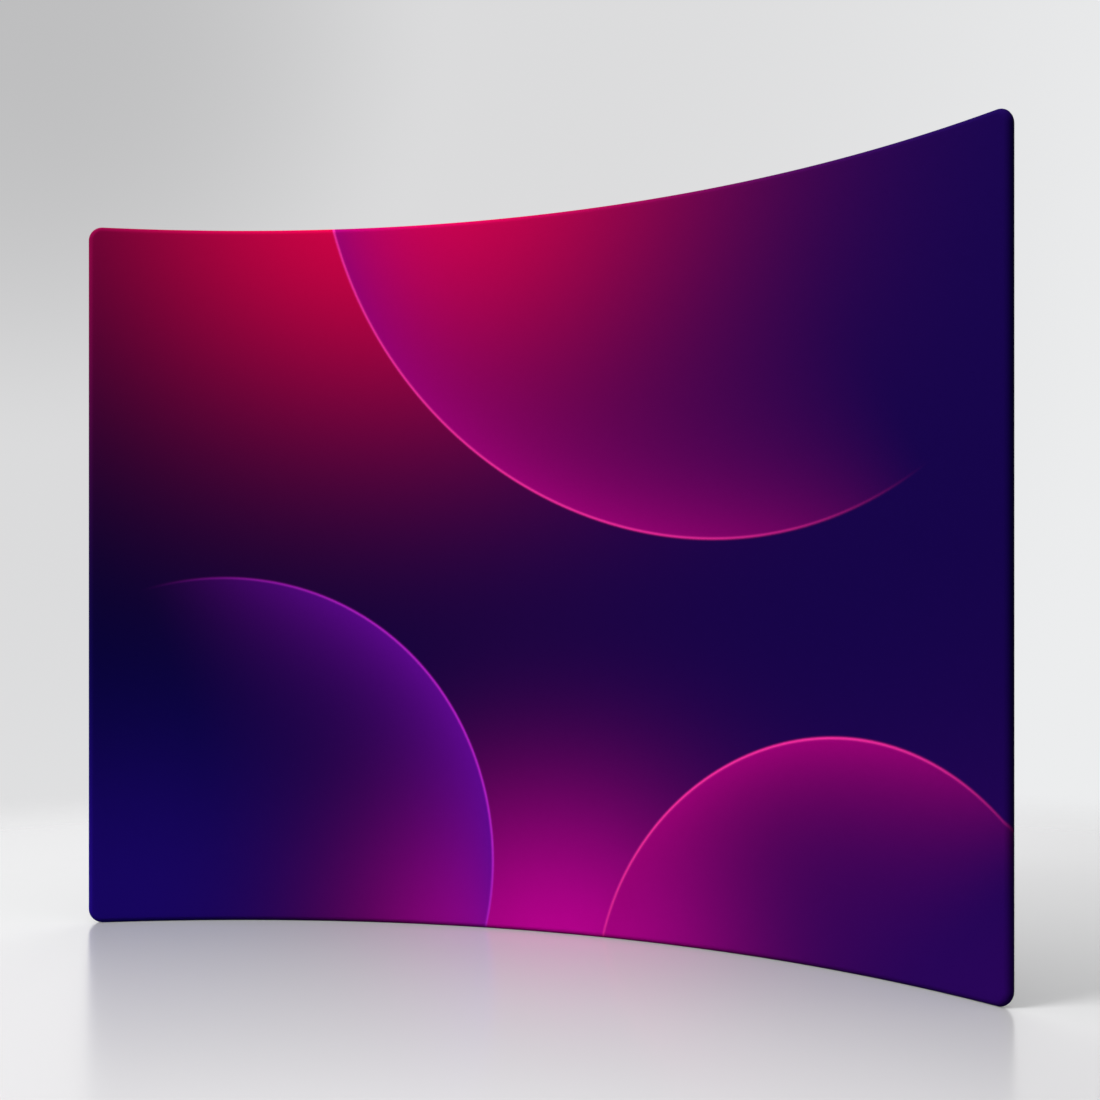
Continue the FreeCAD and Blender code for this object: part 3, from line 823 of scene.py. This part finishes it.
def cast_copy(node, name, material):
    """A copy of a small solid with softened edges, on the same body."""
    mesh = bpy.data.meshes.new(name)
    shape = welded(node)
    shape.to_mesh(mesh)
    shape.free()
    mesh.materials.append(material)
    piece = bpy.data.objects.new(name, mesh)
    bpy.context.scene.collection.objects.link(piece)
    edge = piece.modifiers.new("cast edge", "BEVEL")
    edge.width = CAST_EDGE
    edge.segments = 2
    edge.limit_method = "ANGLE"
    edge.angle_limit = SHARP
    edge.harden_normals = True
    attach(piece, node)
    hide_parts(node)
    return piece


lacquer = lacquered_zinc()
for node in ("zip_slider", "zip_pull"):
    piece = cast_copy(node, f"{node}_cast", lacquer)
    print(piece.name, len(piece.data.polygons), "faces")

# %% [markdown]
# ## Finishes under the cover
# The frame is hidden while the cover is on, but it is there to be seen when the cover comes off. Its
# finishes share one recipe: two tones mixed by a noise of a real grain size, and a roughness that follows
# it. The grain is stretched along the tubes, because drawing leaves fine lines that way, which give
# anodised tube its silky streaks. A turned coupler is brighter and ringed, spark-textured nylon is a dull
# dark grain, plated and bright parts show small sharp lights, and tempered steel is a bluish black.

# %% Frame finishes
FINISHES = {
    # name: darker and lighter tone, metallic, roughness from and to, grain in mm (x, y, z), relief in mm
    "satin_anodised_drawn_aluminium_rail": ("#aeb2b6", "#c9ccd0", 1.0, 0.26, 0.42, (40, 40, 0.4), 0.004),
    "satin_anodised_drawn_aluminium_pole": ("#aeb2b6", "#c9ccd0", 1.0, 0.26, 0.42, (0.4, 0.4, 40), 0.004),
    "turned_aluminium_coupler": ("#b4b6b8", "#d2d3d4", 1.0, 0.18, 0.34, (6, 6, 0.3), 0.006),
    "glass_filled_nylon_spark_texture": ("#151618", "#26282b", 0.0, 0.45, 0.65, (0.35, 0.35, 0.35), 0.03),
    "bright_aluminium_rivet": ("#b9bbbd", "#d9dadb", 1.0, 0.22, 0.36, (0.5, 0.5, 0.5), 0.004),
    "zinc_plated_steel_button": ("#9fa6ad", "#c4c8c6", 1.0, 0.2, 0.36, (1.2, 1.2, 1.2), 0.003),
    "oil_tempered_spring_steel": ("#2e3238", "#4a4f57", 1.0, 0.28, 0.45, (0.8, 0.8, 3), 0.003),
    "black_lacquered_zip_stop": ("#17171a", "#2a2a2e", 0.0, 0.25, 0.45, (0.6, 0.6, 0.6), 0.004),
}


def grained_finish(name, dark, light, metallic, smoothest, roughest, grain, relief):
    material, tree, shader = new_finish(name, Metallic=metallic)
    place = add(tree, "ShaderNodeTexCoord").outputs["Object"]
    size = tuple(1 / (length * MM) for length in grain)
    scaled = add(tree, "ShaderNodeVectorMath", {0: place, 1: size}, operation="MULTIPLY")
    noise = add(tree, "ShaderNodeTexNoise", {"Vector": scaled.outputs[0], "Scale": 1.0, "Detail": 3.0})
    two_tone(tree, shader, noise.outputs["Fac"], (dark, light), (smoothest, roughest))
    bump = {"Height": noise.outputs["Fac"], "Distance": relief * MM}
    tree.links.new(add(tree, "ShaderNodeBump", bump).outputs[0], shader.inputs["Normal"])
    return material


finishes = {name: grained_finish(name, *values) for name, values in FINISHES.items()}
print(len(finishes), "finishes")

# %% [markdown]
# ## Springs, one piece each
# Behind each button lies a hairpin of spring strip. One leg stands on the far side of the fitting and
# the other carries the button. The solids hold all of them in one group, so here each becomes a piece of
# its own.


def spring_piece(button, faces):
    """One spring as a piece of its own, from its faces in the group."""
    corners = list(dict.fromkeys(corner for face in faces for corner in face.verts))
    place = {corner: i for i, corner in enumerate(corners)}
    points = [corner.co for corner in corners]
    outlines = [[place[corner] for corner in face.verts] for face in faces]
    steel = finishes["oil_tempered_spring_steel"]
    spring = mesh_piece(f"{button}_spring", points, outlines, steel, body=None)
    spring.data.set_sharp_from_angle(angle=SHARP)
    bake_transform(spring)
    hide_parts("button_springs")
    return spring


spring_group = welded("button_springs")
buttons = {name: middle(name) for name in nodes if "_button_" in name}
spring_faces = {name: [] for name in buttons}
for face in spring_group.faces:
    centre = face.calc_center_median()
    spring_faces[min(buttons, key=lambda name: (buttons[name] - centre).length)].append(face)
springs = [spring_piece(name, faces) for name, faces in spring_faces.items()]
print(len(springs), "springs of", sorted({len(spring.data.polygons) for spring in springs}), "faces")
spring_group.free()

# %% [markdown]
# ## The frame's solids
# All other solids under the cover already have their real shape, so each only takes its finish.

# %% Dress the frame


def finish_for(node):
    if "_button_" in node:
        return "zinc_plated_steel_button"
    if node.startswith(("elbow", "tee")):
        return "glass_filled_nylon_spark_texture"
    if "rail" in node:
        return "satin_anodised_drawn_aluminium_rail"
    if node == "pole_couplers":
        return "turned_aluminium_coupler"
    if node == "coupler_rivets":
        return "bright_aluminium_rivet"
    if node == "zip_stops":
        return "black_lacquered_zip_stop"
    return "satin_anodised_drawn_aluminium_pole"


dressed = {}
for node, solid in nodes.items():
    if solid.hide_render:  # a piece above stands for it
        continue
    solid.data.materials.clear()
    solid.data.materials.append(finishes[finish_for(node)])
    dressed.setdefault(finish_for(node), []).append(node)
for name, members in dressed.items():
    print(f"{name}: {len(members)} nodes")

# %% [markdown]
# ## Camera
# The picture was taken at about waist height, from in front of the right end, with the camera level and
# its frame shifted up, which keeps upright lines upright. Its place, turn and lens were fitted to the
# wall's outline.

# %% Camera
IMAGE = 1100
FOCAL_PIXELS = 1524.96
HORIZON_ROW = 633.67
SENSOR = 36.0  # mm
CAMERA_PLACE = (1.9341, -4.2564, 0.9549)
CAMERA_TURN = 0.409  # radians to the left of straight ahead
camera_data = bpy.data.cameras.new("camera")
camera_data.sensor_width = SENSOR
camera_data.lens = FOCAL_PIXELS / IMAGE * SENSOR
camera_data.shift_y = (HORIZON_ROW - IMAGE / 2) / IMAGE
camera = bpy.data.objects.new("camera", camera_data)
camera.location = CAMERA_PLACE
camera.rotation_euler = (math.pi / 2, 0, CAMERA_TURN)
bpy.context.scene.collection.objects.link(camera)
bpy.context.scene.camera = camera
print(f"lens {camera_data.lens:.1f} mm, frame shifted up by {camera_data.shift_y:.3f} of its width")

# %% [markdown]
# ## Floor
# The floor is white and satin, so that it mirrors the wall softly and more so at a low angle. It fades
# out where a studio's paper sweep would rise. Light that has bounced meets it as a grey, because a white
# floor would light up the wall's bottom edge, which is dark. From below the floor lets the view through,
# so that the underside can be looked at.

# %% Floor
FLOOR_RADIUS = 7.0
FLOOR_SIDES = 96
FADE_FROM, FADE_TO = 3.2, 5.6
FLOOR_WHITE, FLOOR_TO_BOUNCED = "#e3e3e4", "#444445"
# How far the view glances off the floor, from 0 straight down to 1 level: no mirror image, and the most
GLANCE_NONE, GLANCE_MOST = 0.69, 0.86
MIRROR_MOST = 0.67


def satin_floor():
    material = bpy.data.materials.new("satin_white_floor")
    material.use_nodes = True
    tree = material.node_tree
    tree.nodes.clear()
    place = add(tree, "ShaderNodeTexCoord").outputs["Object"]
    far = add(tree, "ShaderNodeVectorMath", {0: place}, operation="LENGTH")
    gone = add(
        tree,
        "ShaderNodeMapRange",
        {"Value": far.outputs["Value"], "From Min": FADE_FROM, "From Max": FADE_TO},
        interpolation_type="SMOOTHERSTEP",
    )
    below = add(tree, "ShaderNodeNewGeometry").outputs["Backfacing"]
    clear = add(tree, "ShaderNodeMath", {0: gone.outputs[0], 1: below}, operation="MAXIMUM")
    facing = add(tree, "ShaderNodeLayerWeight", {"Blend": 0.5}).outputs["Facing"]
    mirror = add(
        tree,
        "ShaderNodeMapRange",
        {"Value": facing, "From Min": GLANCE_NONE, "From Max": GLANCE_MOST, "To Max": MIRROR_MOST},
    )
    bounced = add(tree, "ShaderNodeLightPath").outputs["Is Diffuse Ray"]
    tone = blend_colour(tree, bounced, linear(FLOOR_WHITE), linear(FLOOR_TO_BOUNCED))
    white = add(tree, "ShaderNodeBsdfDiffuse", {"Color": tone})
    gloss = add(tree, "ShaderNodeBsdfGlossy", {"Color": linear("#ffffff"), "Roughness": 0.2})
    satin = add(
        tree, "ShaderNodeMixShader", {0: mirror.outputs[0], 1: white.outputs[0], 2: gloss.outputs[0]}
    )
    through = add(tree, "ShaderNodeBsdfTransparent")
    faded = add(
        tree, "ShaderNodeMixShader", {0: clear.outputs[0], 1: satin.outputs[0], 2: through.outputs[0]}
    )
    add(tree, "ShaderNodeOutputMaterial", {"Surface": faded.outputs[0]})
    return material


def floor_disc():
    mesh = bpy.data.meshes.new("floor")
    shape = bmesh.new()
    bmesh.ops.create_circle(shape, cap_ends=True, segments=FLOOR_SIDES, radius=FLOOR_RADIUS)
    shape.to_mesh(mesh)
    shape.free()
    mesh.materials.append(satin_floor())
    floor = bpy.data.objects.new("floor", mesh)
    bpy.context.scene.collection.objects.link(floor)
    return floor


floor = floor_disc()
print("floor disc of", len(floor.data.vertices), "sides")

# %% [markdown]
# ## Backdrop
# Behind the floor the world itself is the pale paper, with painted shade that darkens it towards one
# upper corner. What is mirrored sees an even and slightly paler surround instead, so that the far floor
# keeps its white. As a light the world is weak and the lamps do the work, because light from all round
# would flatten the round edges.

# %% Backdrop
PAPER, SURROUND = "#ecedee", "#f3f3f4"
WORLD_LIGHT = 0.05
PAINTED_SHADE_CORNER = (-0.639, 0.678, 0.364)
# How near the corner of painted shade, as a cosine: full there, nothing there, and the grey it turns to
PAINTED_SHADE_STEPS = [(0.97, 0.72, "#dbdbdc"), (1.01, 0.965, "#bababb")]


def studio_world():
    world = bpy.data.worlds.new("studio")
    world.use_nodes = True
    tree = world.node_tree
    tree.nodes.clear()
    path = add(tree, "ShaderNodeLightPath")
    looking, mirrored, through_glass = [
        path.outputs[f"Is {kind} Ray"] for kind in ("Camera", "Glossy", "Transmission")
    ]
    passed_on = {0: mirrored, 1: through_glass}
    indirect = add(tree, "ShaderNodeMath", passed_on, operation="MAXIMUM").outputs[0]
    seen = add(tree, "ShaderNodeMath", {0: looking, 1: indirect}, operation="MAXIMUM").outputs[0]
    way = add(tree, "ShaderNodeTexCoord").outputs["Generated"]
    towards = add(tree, "ShaderNodeVectorMath", {0: way, 1: PAINTED_SHADE_CORNER}, operation="DOT_PRODUCT")
    paper = linear(PAPER)
    # painted shade: the paper's colour turns grey towards the corner
    for nearest, furthest, grey in PAINTED_SHADE_STEPS:
        painted_dimming = add(
            tree,
            "ShaderNodeMapRange",
            {"Value": towards.outputs["Value"], "From Min": furthest, "From Max": nearest},
            interpolation_type="SMOOTHSTEP",
        )
        paper = blend_colour(tree, painted_dimming.outputs[0], paper, linear(grey))
    paper = blend_colour(tree, indirect, paper, linear(SURROUND))
    backdrop = add(tree, "ShaderNodeBackground", {"Color": paper, "Strength": 1.0})
    light = add(tree, "ShaderNodeBackground", {"Color": linear("#ffffff"), "Strength": WORLD_LIGHT})
    world_mix = add(tree, "ShaderNodeMixShader", {0: seen, 1: light.outputs[0], 2: backdrop.outputs[0]})
    add(tree, "ShaderNodeOutputWorld", {"Surface": world_mix.outputs[0]})
    return world


bpy.context.scene.world = studio_world()
print("backdrop", PAPER, "with", len(PAINTED_SHADE_STEPS), "steps towards the dim corner")

# %% [markdown]
# ## Light
# One large soft lamp stands far off to the left in front, so that its light is even over the wall and the
# right end's edge turns away from it. One hangs overhead, for the top edge and the floor. A weak one
# stands behind, so that the black back doesn't sink into one dark shape. The level is plain: a colour
# comes out about as it was written, and the pale floor stays below white.

# %% Lamps
# Name: place, point that it faces, width and height in metres, power in watts
LAMPS = {
    "key_softbox": ((-8.0, -10.2, 9.4), (0, 0, (bottom_rail + top_rail) / 2), (6.5, 6.5), 2200),
    "overhead_softbox": ((0.4, -1.4, 6.5), (0.6, -0.8, 0), (5.8, 6.0), 235),
    "rear_softbox": ((-1.6, 4.8, 4.2), (-0.2, 0.4, 0.8), (4.0, 2.5), 80),
}


def soft_lamp(name, place, target, size, power):
    data = bpy.data.lights.new(name, "AREA")
    data.shape = "RECTANGLE"
    data.size, data.size_y = size
    data.energy = power
    lamp = bpy.data.objects.new(name, data)
    lamp.location = place
    lamp.rotation_euler = (Vector(target) - Vector(place)).to_track_quat("-Z", "Y").to_euler()
    bpy.context.scene.collection.objects.link(lamp)


for name, values in LAMPS.items():
    soft_lamp(name, *values)
    print(name, values[-1], "W")
bpy.context.scene.view_settings.view_transform = "Standard"
